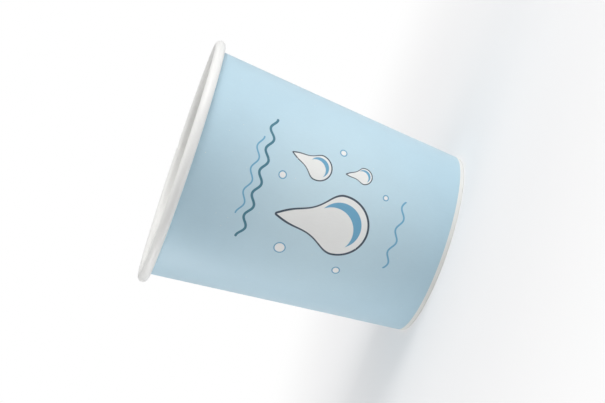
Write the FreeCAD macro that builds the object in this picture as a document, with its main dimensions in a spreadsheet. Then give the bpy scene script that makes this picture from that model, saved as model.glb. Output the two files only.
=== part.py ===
import FreeCAD, Part
import math
import os
import Sketcher

# Tapered paper cup, standing on its base, all lengths in millimetres and angles in degrees.
# The origin is on the axis at the level the cup stands on, +Z is up and the print faces -Y.
# The cup is two pieces of board: a rolled sidewall and a drawn bottom disc.

# Driving dimensions: name, value, what it is
SIZES = [
    ("rim_diameter", 73.0, "across the outside of the rim bead"),
    ("base_diameter", 53.0, "across the wall's outer face, carried down to the level it stands on"),
    ("cup_height", 78.0, "from the level it stands on to the top of the bead"),
    ("board", 0.30, "thickness of the sidewall board"),
    ("bottom_board", 0.27, "thickness of the bottom board"),
    ("bead_diameter", 3.0, "outside of the curled rim, in section"),
    ("curl_gap", 0.085, "clearance in the bead, between the tucked turn and the seam's outer layer"),
    ("join_angle", 130.0, "direction from where the two turns meet back to the bead's middle"),
    ("tuck_angle", 140.0, "direction of the cut edge from the middle of the tighter turn"),
    ("fold_corner", 0.25, "outer radius of the pressed fold at the foot, each side of its flat land"),
    ("bottom_recess", 6.8, "from the level it stands on up to the underside of the bottom"),
    ("bottom_bend", 0.50, "inner radius where the bottom turns down into its skirt"),
    ("paste_gap", 0.03, "clearance on each side of the skirt, between wall and hem"),
    ("skirt_gap", 0.15, "clearance between the skirt's cut edge and the fold"),
    ("hem_edge_gap", 0.30, "from the hem's cut edge up to the bend of the bottom"),
    ("lap_width", 7.0, "width of the glued overlap of the side seam"),
    ("lap_ramp", 3.5, "width over which the outer layer comes back down to the wall"),
]

SHEET = "sizes"

os.makedirs("parts", exist_ok=True)
doc = FreeCAD.newDocument("paper_cup")

# Size sheet
sheet = doc.addObject("Spreadsheet::Sheet", SHEET)
for row, (name, value, note) in enumerate(SIZES, start=1):
    sheet.set(f"A{row}", name)
    sheet.set(f"B{row}", str(value))
    sheet.setAlias(f"B{row}", name)
    sheet.set(f"C{row}", note)
doc.recompute()

rim_diameter = sheet.rim_diameter
base_diameter = sheet.base_diameter
cup_height = sheet.cup_height
board = sheet.board
bottom_board = sheet.bottom_board
bead_diameter = sheet.bead_diameter
curl_gap = sheet.curl_gap
join_angle = sheet.join_angle
tuck_angle = sheet.tuck_angle
fold_corner = sheet.fold_corner
bottom_recess = sheet.bottom_recess
bottom_bend = sheet.bottom_bend
paste_gap = sheet.paste_gap
skirt_gap = sheet.skirt_gap
hem_edge_gap = sheet.hem_edge_gap
lap_width = sheet.lap_width
lap_ramp = sheet.lap_ramp


def bound(formula):
    """The same formula with every size written as the sheet's cell."""
    for name, _, _ in sorted(SIZES, key=lambda size: -len(size[0])):
        formula = formula.replace(f"[{name}]", f"{SHEET}.{name}")
    return formula


# Lean of the wall from upright: its outer face starts at the base diameter and runs up
# to touch the inside of the bead, so the lean follows from the base, the rim and the height.
bead_x = (rim_diameter - bead_diameter) / 2
bead_z = cup_height - bead_diameter / 2
spread = bead_x - base_diameter / 2
touch = math.asin((bead_diameter / 2 - board) / math.hypot(spread, bead_z))
lean = math.degrees(math.atan2(spread, bead_z) - touch)
RUN = "(([rim_diameter] - [bead_diameter] - [base_diameter]) / 2)"
RISE = "([cup_height] - [bead_diameter] / 2)"
LEAN = f"(atan({RUN} / {RISE}) - asin(([bead_diameter] / 2 - [board]) / sqrt({RUN} ^ 2 + {RISE} ^ 2)))"

# The tucked turn is smaller than the bead by what leaves room beside the seam's two layers
ROOM = f"((2 * [board] + [curl_gap]) / (1 + cos(180 deg - [join_angle] * 1 deg - {LEAN})))"

# The middle of the fold's inner round, half the skirt's pocket above the board it is folded from
FOLD_LEVEL = "[board] + [bottom_board] / 2 + [paste_gap]"


def along(angle, reach):
    """Vector of a given reach in a direction, in degrees from +X towards +Y of the sketch."""
    turn = math.radians(angle)
    return FreeCAD.Vector(reach * math.cos(turn), reach * math.sin(turn), 0)


up_wall = along(90 - lean, 1)
off_wall = along(-lean, 1)


def on_wall(height, depth):
    """Point at a height, at a depth below the wall's outer face."""
    foot = FreeCAD.Vector(base_diameter / 2, 0, 0) - off_wall * depth
    return foot + up_wall * ((height - foot.y) / up_wall.y)


class Outline:
    """A sketch drawn as a chain of lines and arcs whose sizes are bound to the sheet."""

    def __init__(self, body, name, plane):
        self.sketch = body.newObject("Sketcher::SketchObject", name)
        faces = {item.Role: item for item in body.Origin.OriginFeatures}
        self.sketch.AttachmentSupport = [(faces[plane], "")]
        self.sketch.MapMode = "FlatFace"

    def line(self, start, end, construction=False):
        return self.sketch.addGeometry(Part.LineSegment(start, end), construction)

    def arc(self, centre, radius, start_angle, end_angle):
        circle = Part.Circle(centre, FreeCAD.Vector(0, 0, 1), radius)
        first = math.radians(start_angle)
        last = math.radians(end_angle)
        return self.sketch.addGeometry(Part.ArcOfCircle(circle, first, last), False)

    def point(self, place):
        return self.sketch.addGeometry(Part.Point(place), True)

    def tie(self, kind, *places):
        return self.sketch.addConstraint(Sketcher.Constraint(kind, *places))

    def size(self, kind, places, name, formula):
        """A constraint whose value follows a formula of the sheet's sizes."""
        result = self.sketch.evalExpression(bound(formula))
        value = float(getattr(result, "Value", result))
        if kind == "Angle":
            value = math.radians(value)
        index = self.sketch.addConstraint(Sketcher.Constraint(kind, *places, value))
        self.sketch.renameConstraint(index, name)
        self.sketch.setExpression(f"Constraints.{name}", bound(formula))


START = 1
END = 2
CENTRE = 3
LEVEL = -1
UPRIGHT = -2


def turned(body, outline):
    """Turn the outline all the way round the cup's axis."""
    feature = body.newObject("PartDesign::Revolution", f"{body.Name}_turned")
    feature.Profile = outline.sketch
    feature.ReferenceAxis = (outline.sketch, ["V_Axis"])
    feature.Angle = 360.0
    outline.sketch.Visibility = False
    return feature


# Sidewall section: one sheet from the cut edge inside the rim bead, down the wall,
# round the pressed fold at the foot and up the hem to its cut edge.
def sidewall_section(body):
    drawn = Outline(body, "sheet_section", "XZ_Plane")
    pocket = bottom_board + 2 * paste_gap
    bead_radius = bead_diameter / 2
    room = (2 * board + curl_gap) / (1 + math.cos(math.radians(180 - join_angle - lean)))
    tuck_radius = bead_radius - room
    bead = FreeCAD.Vector(bead_x, bead_z, 0)
    tuck = bead + along(join_angle + 180, bead_radius - tuck_radius)
    join = join_angle - 180
    wall_side = 180 - lean

    fold = on_wall(board + pocket / 2, board + pocket / 2)
    hem_depth = 2 * board + pocket
    hem_top = on_wall(bottom_recess - bottom_bend - hem_edge_gap, board + pocket)
    corner_out = on_wall(fold_corner, fold_corner)
    corner_in = on_wall(fold_corner, hem_depth - fold_corner)

    outer_face = drawn.line(corner_out + off_wall * fold_corner, bead - off_wall * (bead_radius - board))
    bead_inside = drawn.arc(bead, bead_radius - board, join, wall_side)
    tuck_inside = drawn.arc(tuck, tuck_radius - board, tuck_angle, join + 360)
    edge_way = along(tuck_angle, 1)
    rim_edge = drawn.line(tuck + edge_way * (tuck_radius - board), tuck + edge_way * tuck_radius)
    tuck_outside = drawn.arc(tuck, tuck_radius, tuck_angle, join + 360)
    bead_outside = drawn.arc(bead, bead_radius, join, wall_side)
    inner_face = drawn.line(bead - off_wall * bead_radius, fold + off_wall * (pocket / 2))
    fold_inside = drawn.arc(fold, pocket / 2, 180 - lean, 360 - lean)
    hem_face = drawn.line(fold - off_wall * (pocket / 2), hem_top)
    hem_edge = drawn.line(hem_top, hem_top - off_wall * board)
    hem_back = drawn.line(hem_top - off_wall * board, corner_in - off_wall * fold_corner)
    corner_back = drawn.arc(corner_in, fold_corner, 180 - lean, 270)
    land = drawn.line(FreeCAD.Vector(corner_in.x, 0, 0), FreeCAD.Vector(corner_out.x, 0, 0))
    corner_front = drawn.arc(corner_out, fold_corner, 270, 360 - lean)
    base_mark = drawn.point(FreeCAD.Vector(base_diameter / 2, 0, 0))
    join_ray = drawn.line(bead + along(join, bead_radius - board), bead, True)

    drawn.tie("Tangent", outer_face, END, bead_inside, END)
    drawn.tie("Tangent", bead_inside, START, tuck_inside, END)
    drawn.tie("Coincident", tuck_inside, START, rim_edge, START)
    drawn.tie("Coincident", rim_edge, END, tuck_outside, START)
    drawn.tie("Tangent", tuck_outside, END, bead_outside, START)
    drawn.tie("Tangent", bead_outside, END, inner_face, START)
    drawn.tie("Tangent", inner_face, END, fold_inside, END)
    drawn.tie("Tangent", fold_inside, START, hem_face, START)
    drawn.tie("Coincident", hem_face, END, hem_edge, START)
    drawn.tie("Coincident", hem_edge, END, hem_back, START)
    drawn.tie("Tangent", hem_back, END, corner_back, START)
    drawn.tie("Tangent", corner_back, END, land, START)
    drawn.tie("Tangent", land, END, corner_front, START)
    drawn.tie("Tangent", corner_front, END, outer_face, START)
    drawn.tie("Coincident", bead_inside, CENTRE, bead_outside, CENTRE)
    drawn.tie("Coincident", tuck_inside, CENTRE, tuck_outside, CENTRE)
    drawn.tie("Parallel", inner_face, outer_face)
    drawn.tie("Parallel", hem_face, inner_face)
    drawn.tie("Parallel", hem_back, hem_face)
    drawn.tie("Perpendicular", hem_edge, hem_face)
    drawn.tie("Horizontal", land)
    drawn.tie("PointOnObject", land, START, LEVEL)
    drawn.tie("PointOnObject", base_mark, START, LEVEL)
    drawn.tie("PointOnObject", base_mark, START, outer_face)
    drawn.tie("PointOnObject", tuck_inside, CENTRE, rim_edge)
    drawn.tie("Coincident", join_ray, START, bead_inside, START)
    drawn.tie("Coincident", join_ray, END, bead_inside, CENTRE)

    drawn.size("DistanceX", (base_mark, START), "base_reach", "[base_diameter] / 2")
    drawn.size("DistanceX", (bead_inside, CENTRE), "bead_reach", "([rim_diameter] - [bead_diameter]) / 2")
    drawn.size("DistanceY", (bead_inside, CENTRE), "bead_level", RISE)
    drawn.size("Radius", (bead_outside,), "bead_outer", "[bead_diameter] / 2")
    drawn.size("Radius", (bead_inside,), "bead_inner", "[bead_diameter] / 2 - [board]")
    drawn.size("Radius", (tuck_inside,), "tuck_inner", f"[bead_diameter] / 2 - {ROOM} - [board]")
    drawn.size("Angle", (join_ray,), "join_turn", "[join_angle]")
    drawn.size("Angle", (rim_edge,), "tuck_turn", "[tuck_angle]")
    drawn.size("Radius", (fold_inside,), "fold_inner", "[bottom_board] / 2 + [paste_gap]")
    drawn.size("DistanceY", (fold_inside, CENTRE), "fold_level", FOLD_LEVEL)
    hem_level = "[bottom_recess] - [bottom_bend] - [hem_edge_gap]"
    drawn.size("DistanceY", (hem_edge, START), "hem_level", hem_level)
    drawn.size("Distance", (hem_edge,), "hem_board", "[board]")
    drawn.size("Radius", (corner_front,), "front_corner", "[fold_corner]")
    drawn.size("Radius", (corner_back,), "back_corner", "[fold_corner]")
    return drawn


# Side seam, at the back: the blank's outer edge lies over the inner one. Its cut edge stands
# one board proud of the wall, and past the overlap the outer layer runs back down to the wall.
def lap_slice(body, name, level, level_formula):
    drawn = Outline(body, name, "XY_Plane")
    drawn.sketch.setExpression("AttachmentOffset.Base.z", bound(level_formula))
    thick = board / math.cos(math.radians(lean))
    wall = base_diameter / 2 + level * math.tan(math.radians(lean))
    root = wall - thick / 2
    proud = wall + thick
    cut_x = -lap_width / 2
    turn_x = lap_width / 2
    ramp_x = turn_x + lap_ramp

    def at(x, radius):
        return FreeCAD.Vector(x, math.sqrt(radius ** 2 - x ** 2), 0)

    def heading(x, radius):
        return math.degrees(math.acos(x / radius))

    middle = FreeCAD.Vector(0, 0, 0)
    root_arc = drawn.arc(middle, root, heading(ramp_x, root), heading(cut_x, root))
    cut_edge = drawn.line(at(cut_x, root), at(cut_x, proud))
    top_arc = drawn.arc(middle, proud, heading(turn_x, proud), heading(cut_x, proud))
    ramp = drawn.line(at(turn_x, proud), at(ramp_x, root))
    drawn.tie("Coincident", root_arc, CENTRE, LEVEL, START)
    drawn.tie("Coincident", top_arc, CENTRE, LEVEL, START)
    drawn.tie("Coincident", root_arc, END, cut_edge, START)
    drawn.tie("Coincident", cut_edge, END, top_arc, END)
    drawn.tie("Coincident", top_arc, START, ramp, START)
    drawn.tie("Coincident", ramp, END, root_arc, START)
    drawn.tie("Vertical", cut_edge)
    wall_formula = f"[base_diameter] / 2 + ({level_formula}) * tan({LEAN})"
    thick_formula = f"[board] / cos({LEAN})"
    drawn.size("Radius", (root_arc,), "root", f"{wall_formula} - {thick_formula} / 2")
    drawn.size("Radius", (top_arc,), "proud", f"{wall_formula} + {thick_formula}")
    drawn.size("DistanceX", (cut_edge, START), "cut_place", "-[lap_width] / 2")
    drawn.size("DistanceX", (ramp, START), "turn_place", "[lap_width] / 2")
    drawn.size("DistanceX", (ramp, END), "ramp_place", "[lap_width] / 2 + [lap_ramp]")
    return drawn


sidewall = doc.addObject("PartDesign::Body", "sidewall")
sidewall.Label = "sidewall"
turned(sidewall, sidewall_section(sidewall))
doc.recompute()
lap_foot = lap_slice(sidewall, "lap_foot", fold_corner, "[fold_corner]")
lap_head = lap_slice(sidewall, "lap_head", bead_z, RISE)
doc.recompute()
side_lap = sidewall.newObject("PartDesign::AdditiveLoft", "side_lap")
side_lap.Profile = lap_foot.sketch
side_lap.Sections = [lap_head.sketch]
side_lap.Ruled = True


# Bottom disc: a flat round bottom whose edge bends down into a skirt beside the wall.
def bottom_section(body):
    drawn = Outline(body, "bottom_section", "XZ_Plane")
    skirt_depth = board + paste_gap
    top = bottom_recess + bottom_board
    bend_outer = bottom_bend + bottom_board
    foot_level = board + bottom_board / 2 + paste_gap + skirt_gap

    bend = on_wall(top - bend_outer, skirt_depth + bend_outer)
    foot = on_wall(foot_level, skirt_depth)
    middle_top = FreeCAD.Vector(0, top, 0)
    middle_low = FreeCAD.Vector(0, bottom_recess, 0)

    upper_face = drawn.line(middle_top, FreeCAD.Vector(bend.x, top, 0))
    bend_out = drawn.arc(bend, bend_outer, -lean, 90)
    skirt_out = drawn.line(bend + off_wall * bend_outer, foot)
    skirt_edge = drawn.line(foot, foot - off_wall * bottom_board)
    skirt_in = drawn.line(foot - off_wall * bottom_board, bend + off_wall * bottom_bend)
    bend_in = drawn.arc(bend, bottom_bend, -lean, 90)
    lower_face = drawn.line(FreeCAD.Vector(bend.x, bottom_recess, 0), middle_low)
    middle = drawn.line(middle_low, middle_top)
    wall_foot = FreeCAD.Vector(base_diameter / 2, 0, 0)
    wall_line = drawn.line(wall_foot, wall_foot + up_wall * cup_height, True)
    across = drawn.line(wall_foot, wall_foot - off_wall * skirt_depth, True)

    drawn.tie("Tangent", upper_face, END, bend_out, END)
    drawn.tie("Tangent", bend_out, START, skirt_out, START)
    drawn.tie("Coincident", skirt_out, END, skirt_edge, START)
    drawn.tie("Coincident", skirt_edge, END, skirt_in, START)
    drawn.tie("Tangent", skirt_in, END, bend_in, START)
    drawn.tie("Tangent", bend_in, END, lower_face, START)
    drawn.tie("Coincident", lower_face, END, middle, START)
    drawn.tie("Coincident", middle, END, upper_face, START)
    drawn.tie("Coincident", bend_out, CENTRE, bend_in, CENTRE)
    drawn.tie("Horizontal", upper_face)
    drawn.tie("Horizontal", lower_face)
    drawn.tie("PointOnObject", middle, START, UPRIGHT)
    drawn.tie("PointOnObject", middle, END, UPRIGHT)
    drawn.tie("Parallel", skirt_out, wall_line)
    drawn.tie("Perpendicular", skirt_edge, skirt_out)
    drawn.tie("Parallel", skirt_in, skirt_out)
    drawn.tie("PointOnObject", wall_line, START, LEVEL)
    drawn.tie("Coincident", across, START, wall_line, START)
    drawn.tie("Perpendicular", across, wall_line)
    drawn.tie("PointOnObject", across, END, skirt_out)

    drawn.size("DistanceX", (wall_line, START), "base_reach", "[base_diameter] / 2")
    drawn.size("Distance", (wall_line,), "wall_reach", "[cup_height]")
    drawn.size("Angle", (wall_line,), "wall_lean", f"90 deg - {LEAN}")
    drawn.size("Distance", (across,), "skirt_depth", "[board] + [paste_gap]")
    drawn.size("DistanceY", (middle, START), "recess", "[bottom_recess]")
    drawn.size("Radius", (bend_in,), "bend_inner", "[bottom_bend]")
    drawn.size("Radius", (bend_out,), "bend_outer", "[bottom_bend] + [bottom_board]")
    drawn.size("DistanceY", (skirt_edge, START), "skirt_level", f"{FOLD_LEVEL} + [skirt_gap]")
    return drawn


bottom_disc = doc.addObject("PartDesign::Body", "bottom_disc")
bottom_disc.Label = "bottom_disc"
turned(bottom_disc, bottom_section(bottom_disc))
doc.recompute()

# Check every object, then write the pieces
for item in doc.Objects:
    if "Invalid" in item.State or "Error" in item.State:
        raise RuntimeError(f"{item.Name} did not compute: {item.State}")
for sketch in doc.findObjects("Sketcher::SketchObject"):
    if sketch.solve() != 0 or not sketch.FullyConstrained:
        raise RuntimeError(f"{sketch.Name} is not fully set by its sizes")
for piece in (sidewall, bottom_disc):
    solid = piece.Shape
    if solid.isNull() or not solid.isValid() or len(solid.Solids) != 1:
        raise RuntimeError(f"{piece.Label} is not one valid solid")
    print(f"{piece.Label}: {solid.Volume:.1f} cubic mm")
    solid.exportStep(f"parts/{piece.Label}.step")
print(f"wall leans {lean:.2f} degrees")
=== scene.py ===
# %% [markdown]
# A paper cup, made from its two pieces of board.
#
# A tapered paper cup is not moulded. It starts as a flat fan of coated, printed board, which is
# rolled round a cone until its straight edges overlap in a glued seam. The top edge is curled
# outward into a hollow bead, and the bottom edge is folded in and up round the skirt of a second
# piece, the drawn bottom disc. This lesson builds the two pieces that way: each one is a sheet
# worked out with numpy from a section and a turn, with its real thickness and its cut edges.

# %% Load the frame
import math
import bpy
import numpy as np
from mathutils import Matrix, Vector


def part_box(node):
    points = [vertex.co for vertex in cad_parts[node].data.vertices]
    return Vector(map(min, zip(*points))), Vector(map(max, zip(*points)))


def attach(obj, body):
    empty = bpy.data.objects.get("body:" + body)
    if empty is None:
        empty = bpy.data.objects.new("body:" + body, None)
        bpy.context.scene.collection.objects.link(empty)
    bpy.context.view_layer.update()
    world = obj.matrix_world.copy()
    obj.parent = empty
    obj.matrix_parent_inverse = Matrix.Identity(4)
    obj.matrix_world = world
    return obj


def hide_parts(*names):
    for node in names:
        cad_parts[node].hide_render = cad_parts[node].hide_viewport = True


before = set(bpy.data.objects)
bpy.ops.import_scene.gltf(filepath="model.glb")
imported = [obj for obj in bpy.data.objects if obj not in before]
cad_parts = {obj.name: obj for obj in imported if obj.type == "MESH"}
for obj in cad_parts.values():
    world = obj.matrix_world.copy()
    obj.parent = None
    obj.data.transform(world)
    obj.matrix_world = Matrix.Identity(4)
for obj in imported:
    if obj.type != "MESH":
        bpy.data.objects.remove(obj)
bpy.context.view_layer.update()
print("nodes in the frame:", sorted(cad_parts))

# %% [markdown]
# The frame is in metres, but board and beads are easier to think about in millimetres, so the
# shapes below are worked out in millimetres and turned into metres once, when a mesh is made.
# The rim's reach, the height and the level of the bottom come from the frame's own boxes, so the
# finished cup can't drift away from the packed one.

# %% Sizes from the frame
MM = 0.001
wall_box = np.array(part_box("sidewall")) / MM
disc_box = np.array(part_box("bottom_disc")) / MM
RIM_RADIUS = float(wall_box[1][0])
CUP_HEIGHT = float(wall_box[1][2])
BOTTOM_TOP = float(disc_box[1][2])
SKIRT_FOOT = float(disc_box[0][2])
print(f"rim {2 * RIM_RADIUS:.1f} mm across, {CUP_HEIGHT:.1f} mm high, bottom at {BOTTOM_TOP:.2f} mm")

# %% [markdown]
# A box can't tell how thick the board is or how tightly it is curled. Those sizes are written here
# as a cup's maker gives them: the two boards, the paste between them, the bead and the tucked edge
# inside it, the fold at the foot with its hem, the bend of the bottom disc, and the glued lap.

# %% Sizes from the maker
BASE_RADIUS = 26.5
BOARD = 0.30
BOTTOM_BOARD = 0.27
PASTE_GAP = 0.03
BEAD_RADIUS = 1.5
TUCK_RADIUS = 1.1
TUCK_JOIN = -50.0
TUCK_EDGE = 140.0
FOLD_BEND = 0.20
HEM_TOP = 6.0
BOTTOM_BEND = 0.50
LAP = 7.0
LAP_RAMP = 3.5
print(f"board {BOARD} mm, bottom board {BOTTOM_BOARD} mm, bead {2 * BEAD_RADIUS} mm, lap {LAP} mm")

# %% [markdown]
# The wall leans outward just enough to start at the foot and end touching the inside of the bead.
# Seen in section, that is a line from a point to the tangent of a circle, so the lean is the
# direction of the circle's middle less the small angle that its radius takes up.

# %% Lean of the wall
bead_middle = np.array([RIM_RADIUS - BEAD_RADIUS, CUP_HEIGHT - BEAD_RADIUS])
reach = bead_middle - np.array([BASE_RADIUS, 0.0])
LEAN = math.atan2(reach[0], reach[1]) - math.asin((BEAD_RADIUS - BOARD) / math.hypot(*reach))
UP_WALL = np.array([math.sin(LEAN), math.cos(LEAN)])
OFF_WALL = np.array([math.cos(LEAN), -math.sin(LEAN)])
lean_degrees = math.degrees(LEAN)


def on_wall(height, depth):
    """A point in the section: the foot of the wall's outer face, less the depth straight off the
    wall, plus the way up the wall that brings it to the height."""
    foot = np.array([BASE_RADIUS, 0.0]) - OFF_WALL * depth
    return foot + UP_WALL * (height - foot[1]) / UP_WALL[1]


print(f"the wall leans {lean_degrees:.2f} degrees, and is at {on_wall(40.0, 0.0)[0]:.2f} mm halfway up")

# %% [markdown]
# The section is the path that the middle of the board takes: from the cut edge hidden in the
# bead, round the curl, down the wall, round the pressed fold at the foot and up the hem. It could
# be a curve with a bevel, but a list of points with normals says exactly which face is the printed
# one, and that is what the seam, the finishes and the print need. Rounds and straights make it up.

# %% Rounds and straights
AWAY = 1
TOWARD = -1
QUARTER_ROUND = 90.0
HALF_ROUND = 180.0
WHOLE_ROUND = 360.0


def bend_stretch(middle, radius, start, end, steps, side):
    """Points on a round: the middle plus a radius turned from one angle to another, in degrees.
    The printed face looks away from the middle, or toward it."""
    turn = np.radians(np.linspace(start, end, steps, endpoint=False))
    way = np.stack([np.cos(turn), np.sin(turn)], axis=1)
    return middle + radius * way, side * way


def straight_stretch(start, end, steps, face):
    """Points on a straight: start plus a share of the way to the end, all facing one way."""
    share = np.linspace(0.0, 1.0, steps, endpoint=False)[:, None]
    return start + share * (end - start), np.repeat([face], steps, axis=0)


quarter, _ = bend_stretch(0.0, 1.0, 0.0, QUARTER_ROUND, 2, AWAY)
print("a quarter round in two steps passes", quarter.round(2).tolist())

# %% [markdown]
# The rim is curled outward until its cut edge has gone more than once round. The last part of the
# curl is tighter than the bead, so the edge lies tucked against the inside, where nobody sees it.
# Because the sheet rolls over, the white face that lines the cup is the outside of the bead.

# %% Curl at the rim
TUCK_STEPS = 10
BEAD_STEPS = 22
half_board = BOARD / 2
way_to_tuck = np.array([math.cos(math.radians(TUCK_JOIN)), math.sin(math.radians(TUCK_JOIN))])
tuck_middle = bead_middle + (BEAD_RADIUS - TUCK_RADIUS) * way_to_tuck
tuck_reach = TUCK_RADIUS - half_board
bead_reach = BEAD_RADIUS - half_board
tuck_end = WHOLE_ROUND + TUCK_JOIN
bead_finish = HALF_ROUND - lean_degrees
tucked_edge = bend_stretch(tuck_middle, tuck_reach, TUCK_EDGE, tuck_end, TUCK_STEPS, TOWARD)
bead = bend_stretch(bead_middle, bead_reach, TUCK_JOIN, bead_finish, BEAD_STEPS, TOWARD)
print(f"the board turns {bead_finish - TUCK_EDGE + WHOLE_ROUND:.0f} degrees in the curl")

# %% [markdown]
# At the foot the board is folded in sharply and runs back up inside, with room between the two
# layers for the skirt of the bottom disc and its paste. The part that runs back up is the hem.

# %% Wall, fold and hem
WALL_STEPS = 30
FOLD_STEPS = 4
HEM_STEPS = 8
DOWN = np.array([0.0, -1.0])
pocket = BOTTOM_BOARD + 2 * PASTE_GAP
fold_outer = on_wall(half_board + FOLD_BEND, half_board + FOLD_BEND)
fold_inner = on_wall(half_board + FOLD_BEND, BOARD + pocket + half_board - FOLD_BEND)
wall_top = bead_middle - OFF_WALL * bead_reach
wall_foot = fold_outer + OFF_WALL * FOLD_BEND
hem_foot = fold_inner - OFF_WALL * FOLD_BEND
hem_end = on_wall(HEM_TOP, BOARD + pocket + half_board)
wall = straight_stretch(wall_top, wall_foot, WALL_STEPS, OFF_WALL)
fold_out = bend_stretch(fold_outer, FOLD_BEND, -lean_degrees, -QUARTER_ROUND, FOLD_STEPS, AWAY)
fold_flat = straight_stretch(fold_outer + DOWN * FOLD_BEND, fold_inner + DOWN * FOLD_BEND, 1, DOWN)
hem_lean = -HALF_ROUND - lean_degrees
fold_in = bend_stretch(fold_inner, FOLD_BEND, -QUARTER_ROUND, hem_lean, FOLD_STEPS, AWAY)
hem = straight_stretch(hem_foot, hem_end, HEM_STEPS, -OFF_WALL)
hem_edge = (hem_end[None, :], -OFF_WALL[None, :])
print(f"room of {pocket:.2f} mm between the wall and the hem for a skirt of {BOTTOM_BOARD} mm")

# %% [markdown]
# Joined end to end, the stretches give the whole section. The length along it says how far up the
# sheet each point is, counted from the foot: above zero on the wall, below zero on the hem.

# %% Whole section
stretches = [tucked_edge, bead, wall, fold_out, fold_flat, fold_in, hem, hem_edge]
section = np.concatenate([points for points, _ in stretches])
section_face = np.concatenate([face for _, face in stretches])
run = np.concatenate([[0.0], np.cumsum(np.hypot(*np.diff(section, axis=0).T))])
bead_end = TUCK_STEPS + BEAD_STEPS
foot_index = bead_end + WALL_STEPS
up_sheet = run[foot_index] - run
print(f"section of {len(section)} points, {run[-1]:.1f} mm of board from rim edge to hem edge")

# %% [markdown]
# Now the section is carried round the axis. A plain turned shape would close on itself, but the
# real sheet overlaps: its far edge lies on top of its near edge along a strip of constant width.
# The strip therefore takes a larger angle at the narrow foot than at the rim: half of it has a sine
# of half the strip's width over the radius. So every height has its own span of turn, a little
# more than once round.

# %% Roll the sheet
AROUND = 600
SEAM_ANGLE = math.radians(90)


def ease(share):
    """Three times the share's square less twice its cube, with the share kept between 0 and 1: 0
    below 0, 1 above 1, and a smooth s-curve between."""
    share = np.clip(share, 0.0, 1.0)
    return share * share * (3 - 2 * share)


radius = section[:, 0][None, :]
share = np.linspace(0.0, 1.0, AROUND)[:, None]
half_lap_angle = np.arcsin(LAP / 2 / radius)
turn_span = 2 * np.pi + 2 * half_lap_angle
theta = SEAM_ANGLE - half_lap_angle + share * turn_span
print(f"the sheet turns through {math.degrees(turn_span[0, foot_index]):.1f} degrees at the foot")

# %% [markdown]
# Over the strip the outer layer is lifted by one board, and before it there is a short ramp. At the
# foot both layers are pressed flat together, so there the strip is no thicker than the rest, and
# in the bead they are pressed halfway. A fully pressed layer is half as thick, so its middle moves
# by a quarter of a board.

# %% Lift over the lap
LAP_GLUE = 0.01
PRESS_LOW = 4.0
PRESS_HIGH = 7.5
BEAD_PRESS = 0.5
from_near_edge = share * turn_span * radius
from_far_edge = (1 - share) * turn_span * radius
outer_layer = ease((LAP + LAP_RAMP - from_far_edge) / LAP_RAMP)
inner_layer = 1 - ease((from_near_edge - LAP) / LAP_RAMP)
pressed_foot = ease((PRESS_HIGH - up_sheet[None, :]) / (PRESS_HIGH - PRESS_LOW))
pressed_bead = BEAD_PRESS * ease((up_sheet[None, :] - up_sheet[bead_end]) / BEAD_RADIUS + 1)
pressed = np.maximum(pressed_foot, pressed_bead)
quarter_board = BOARD / 4
settled = quarter_board * pressed * (outer_layer - inner_layer)
lift = (BOARD + LAP_GLUE) * outer_layer * (1 - pressed) + settled
thickness = BOARD * (1 - pressed * np.maximum(outer_layer, inner_layer) / 2)
print(f"lift up to {lift.max():.2f} mm, board from {thickness.min():.2f} to {thickness.max():.2f} mm")

# %% [markdown]
# No rolled cup is a perfect cone. It springs a little out of round at the rim, and the rim isn't
# quite level. A few long waves do it, kept inward and downward so that nothing reaches past the
# true size. They grow from nothing at the foot, which stands flat.

# %% Out of round and out of level
SEED = 11
draw = np.random.default_rng(SEED)
ROUND_WAVES = [(2, 0.11), (3, 0.06), (5, 0.025)]
LEVEL_WAVES = [(2, 0.05), (3, 0.03)]


def waves_around(waves):
    """The sum of each wave's size times the cosine of its count times the turn, less one, from a
    start of its own."""
    total = np.zeros_like(theta)
    for count, size in waves:
        start = draw.uniform(0, 2 * np.pi)
        total += size * (np.cos(count * theta + start) - 1)
    return total


height_share = section[:, 1][None, :] / CUP_HEIGHT
out_of_round = waves_around(ROUND_WAVES) * ease(height_share)
off_level = waves_around(LEVEL_WAVES) * ease(height_share) ** 3
print(f"up to {-out_of_round.min():.2f} mm out of round and {-off_level.min():.2f} mm out of level")

# %% [markdown]
# The wall also keeps soft hollows from handling. Each one is a shallow bell, taller than it is
# wide, and they stay clear of the stiff bead and foot.

# %% Soft hollows
HOLLOWS = 14
HOLLOW_UP = (14, 64)
HOLLOW_WIDE = (6, 14)
HOLLOW_TALL = (16, 30)
HOLLOW_DEEP = (0.03, 0.08)
HOLLOW_REGION = (9, 70)
HOLLOW_FADE = 8


def hollow():
    """Minus a depth, times e to the power of minus two squares: of the way across over the width,
    and of the way up over the height."""
    middle_turn, middle_up = draw.uniform(0, 2 * np.pi), draw.uniform(*HOLLOW_UP)
    wide, tall = draw.uniform(*HOLLOW_WIDE), draw.uniform(*HOLLOW_TALL)
    deep = draw.uniform(*HOLLOW_DEEP)
    across = (np.mod(theta - middle_turn + np.pi, 2 * np.pi) - np.pi) * radius / wide
    return -deep * np.exp(-across ** 2 - ((up_sheet[None, :] - middle_up) / tall) ** 2)


above_foot = ease((up_sheet - HOLLOW_REGION[0]) / HOLLOW_FADE)
below_bead = ease((HOLLOW_REGION[1] - up_sheet) / HOLLOW_FADE)
hollows = sum(hollow() for _ in range(HOLLOWS)) * (above_foot * below_bead)[None, :]
print(f"{HOLLOWS} hollows, up to {-hollows.min():.2f} mm deep")

# %% [markdown]
# The hem is different: the machine's roller presses fine upright knurls into it, to squeeze the
# paste against the skirt, and they show faintly on the wall outside. They are a cosine wave round
# the cup, moved so that it only presses in.

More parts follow.
